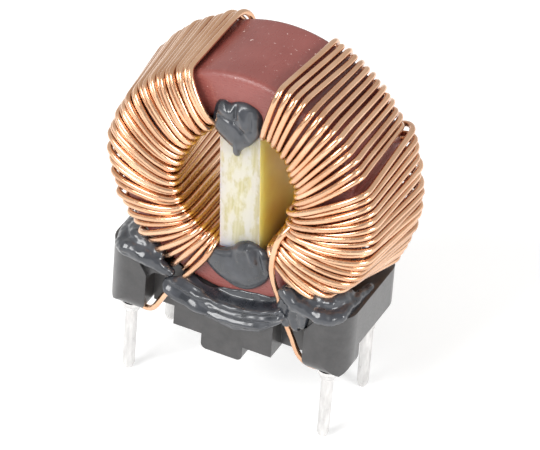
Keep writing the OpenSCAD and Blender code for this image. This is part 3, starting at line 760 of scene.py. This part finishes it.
def fibreglass():
    """Translucent board: yellow on its sides, and cream with chalky patches on its cut edges."""
    m = Nodes("fibreglass")
    layers = m.noise(m.coords((4.0, 0.25, 0.06)), 1.0, 3.0)
    mottle = m.noise(m.coords((1.0, 1.0, 0.45)), 1.3, 4.0, 0.6)
    side = m.ramp(layers, [(0.35, (0.78, 0.63, 0.19)), (0.65, (0.88, 0.76, 0.32))])
    cream = m.ramp(layers, [(0.35, (0.50, 0.46, 0.25)), (0.65, (0.60, 0.56, 0.37))])
    chalk = m.ramp(mottle, [(0.42, 0.0), (0.55, 0.85)])
    cut = m.mix(chalk, cream, (0.66, 0.64, 0.55))
    geometry = m.node("NewGeometry")
    split = m.node("SeparateXYZ")
    m.link(geometry.outputs["Normal"], split.inputs[0])
    absolute = m.node("Math", operation="ABSOLUTE")
    m.link(split.outputs["Y"], absolute.inputs[0])
    facing = m.ramp(absolute.outputs[0], [(0.45, 0.0), (0.75, 1.0)])
    m.shade(m.mix(facing, side, cut), "Base Color")
    m.set(Roughness=0.42, Subsurface_Weight=1.0, Subsurface_Scale=6 * MM,
          Subsurface_Radius=(1.0, 0.9, 0.55))
    m.shade(m.bump(mottle, 0.35, 0.06, m.bump(layers, 0.3, 0.05)), "Normal")
    return m.mat


def header_plastic():
    """Black moulding, a little dusty and grained, with softened edges."""
    m = Nodes("header_plastic")
    space = m.coords()
    dust = m.noise(space, 0.9, 5.0, 0.65)
    m.shade(m.ramp(dust, [(0.35, (0.020, 0.019, 0.020)), (0.75, (0.048, 0.046, 0.047))]), "Base Color")
    grain = m.noise(space, 7.0, 3.0)
    m.shade(m.ramp(grain, [(0.3, 0.36), (0.7, 0.50)]), "Roughness")
    m.set(Coat_Weight=0.8, Coat_Roughness=0.3)
    m.shade(m.bump(grain, 0.15, 0.03, m.rounded_edges(0.15)), "Normal")
    return m.mat


def glue():
    """Cured black epoxy, glossy and wavy."""
    m = Nodes("glue")
    wave = m.noise(m.coords(), 0.9, 2.0)
    m.shade(m.ramp(wave, [(0.3, (0.016, 0.019, 0.025)), (0.7, (0.046, 0.050, 0.061))]), "Base Color")
    m.set(Coat_Weight=0.8, Coat_Roughness=0.12)
    m.shade(m.ramp(wave, [(0.3, 0.24), (0.7, 0.4)]), "Roughness")
    m.shade(m.bump(wave, 0.3, 0.1), "Normal")
    return m.mat


def tin(name, low, high):
    """Tinned metal with lengthwise marks, between two roughnesses."""
    m = Nodes(name)
    marks = m.noise(m.coords((1, 1, 0.25)), 3.0, 4.0)
    m.shade(m.ramp(marks, [(0.3, (0.62, 0.61, 0.60)), (0.7, (0.82, 0.81, 0.80))]), "Base Color")
    m.shade(m.ramp(marks, [(0.3, low), (0.7, high)]), "Roughness")
    m.shade(m.bump(marks, 0.2, 0.03), "Normal")
    m.set(Metallic=1.0)
    return m.mat


def seen_white(m):
    """1 for what the camera sees, straight or in metal and glass, and 0 for other light."""
    path = m.node("LightPath")
    total = path.outputs["Is Camera Ray"]
    for name in ("Is Glossy Ray", "Is Transmission Ray"):
        more = m.node("Math", operation="MAXIMUM")
        m.link(total, more.inputs[0])
        m.link(path.outputs[name], more.inputs[1])
        total = more.outputs[0]
    return total


def floor_white():
    """White paper: it glows a little to the camera, so that it stays white in the light
    that suits the object, and keeps the object's shadow."""
    m = Nodes("floor_white")
    paper = m.noise(m.coords(), 0.05, 2.0)
    m.shade(m.ramp(paper, [(0.3, (0.90, 0.90, 0.90)), (0.7, (0.92, 0.92, 0.92))]), "Base Color")
    m.set(Roughness=0.9, Specular_IOR_Level=0.0, Emission_Color=(1, 1, 1, 1))
    glow = m.node("Math", operation="MULTIPLY")
    glow.inputs[1].default_value = 0.29
    m.link(seen_white(m), glow.inputs[0])
    m.shade(glow.outputs[0], "Emission Strength")
    return m.mat


MATERIALS = {
    "copper_wire": copper(),
    "core_coat": core_coat(),
    "fibreglass": fibreglass(),
    "header_plastic": header_plastic(),
    "glue": glue(),
    "tinned_pin": tin("tinned_pin", 0.25, 0.45),
    "solder": tin("solder", 0.15, 0.35),
}


# The object

def finish_piece(obj, slot):
    obj.data.materials.clear()
    obj.data.materials.append(MATERIALS[slot])


def stand_in(obj, slot, node_name):
    """Finishes a new piece, which takes the place of a CAD node."""
    finish_piece(obj, slot)
    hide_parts(node_name)
    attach(obj, "root")


slots = {s["node"]: s["material_slot"] for s in frame["record"]["subparts"]}
for node_name, node in frame["nodes"].items():
    finish_piece(node, slots[node_name])

for side, end in ((-1, "left"), (1, "right")):
    stand_in(winding("wire_" + end, side), "copper_wire", "winding_" + end)
for axial, end in ((-1, "front"), (1, "rear")):
    stand_in(bead("glue_top_" + end, axial, **TOP_BEAD), "glue", "bead_top_" + end)
    stand_in(bead("glue_low_" + end, axial, **LOW_BEAD), "glue", "bead_bottom_" + end)
    stand_in(adhesive("glue_ridges_" + end, axial), "glue", "adhesive_" + end)
for rows, end in ((SEAT_LEFT, "left"), (SEAT_RIGHT, "right")):
    stand_in(seat_glue("glue_seat_" + end, rows), "glue", "seat_glue_" + end)


# The stage, in metres

def stage_floor():
    size = 1.5
    corners = [(-size, -size, 0), (size, -size, 0), (size, size, 0), (-size, size, 0)]
    floor = mesh_object("floor", corners, [(0, 1, 2, 3)])
    floor.data.materials.append(floor_white())


def area_light(name, toward, size, power):
    """A square light half a metre from the object's middle, facing it."""
    middle, distance = Vector((0, 0, 0.016)), 0.5
    light = bpy.data.lights.new(name, "AREA")
    light.shape = "SQUARE"
    light.size = size
    light.energy = power
    obj = bpy.data.objects.new(name, light)
    direction = Vector(toward).normalized()
    obj.location = middle + direction * distance
    obj.rotation_euler = direction.to_track_quat("Z", "Y").to_euler()
    bpy.context.scene.collection.objects.link(obj)


def tent_world():
    """A white tent that is bright at its sides, top and back and dim where the camera looks in."""
    world = bpy.data.worlds.new("tent")
    bpy.context.scene.world = world
    world.use_nodes = True
    tree = world.node_tree
    coord = tree.nodes.new("ShaderNodeTexCoord")
    opening = tree.nodes.new("ShaderNodeVectorMath")
    opening.operation = "DOT_PRODUCT"
    opening.inputs[1].default_value = Vector((0.30, -0.86, 0.42)).normalized()
    tree.links.new(coord.outputs["Generated"], opening.inputs[0])
    ramp = tree.nodes.new("ShaderNodeValToRGB")
    bright, dim = ramp.color_ramp.elements
    bright.position, bright.color = 0.35, (0.79, 0.79, 0.78, 1)
    dim.position, dim.color = 0.9, (0.61, 0.61, 0.61, 1)
    tree.links.new(opening.outputs["Value"], ramp.inputs["Fac"])
    tree.links.new(ramp.outputs["Color"], tree.nodes["Background"].inputs["Color"])
    tree.nodes["Background"].inputs["Strength"].default_value = 0.85


def camera():
    """The photograph's viewpoint: its direction and roll in degrees, its distance, its focal
    length in pixels, and a point of the object with the pixel where the photograph has it."""
    az, el, roll = math.radians(23.381), math.radians(36.401), math.radians(-4.532)
    focal, width, height, distance = 4952.56, 540, 450, 0.4
    aim, seen = Vector((0, 0, 0.014)), (255.84, 239.39)
    back = Vector((math.sin(az) * math.cos(el), -math.cos(az) * math.cos(el), math.sin(el)))
    level = Vector((math.cos(az), math.sin(az), 0))
    upright = back.cross(level)
    right = math.cos(roll) * level - math.sin(roll) * upright
    up = math.sin(roll) * level + math.cos(roll) * upright
    cam = bpy.data.cameras.new("camera")
    cam.sensor_width = 36
    cam.lens = focal / width * cam.sensor_width
    cam.clip_start, cam.clip_end = 0.01, 10
    obj = bpy.data.objects.new("camera", cam)
    obj.matrix_world = Matrix((right, up, back)).transposed().to_4x4()
    aim += (right * (width / 2 - seen[0]) / focal * distance
            - up * (height / 2 - seen[1]) / focal * distance)
    obj.location = aim + back * distance
    bpy.context.scene.collection.objects.link(obj)
    bpy.context.scene.camera = obj


stage_floor()
tent_world()
camera()
area_light("key", (-0.45, -1.05, 0.85), 0.24, 1.75)
area_light("side", (1.25, -0.4, 0.45), 0.16, 1.3)
bpy.context.scene.view_settings.view_transform = "Standard"
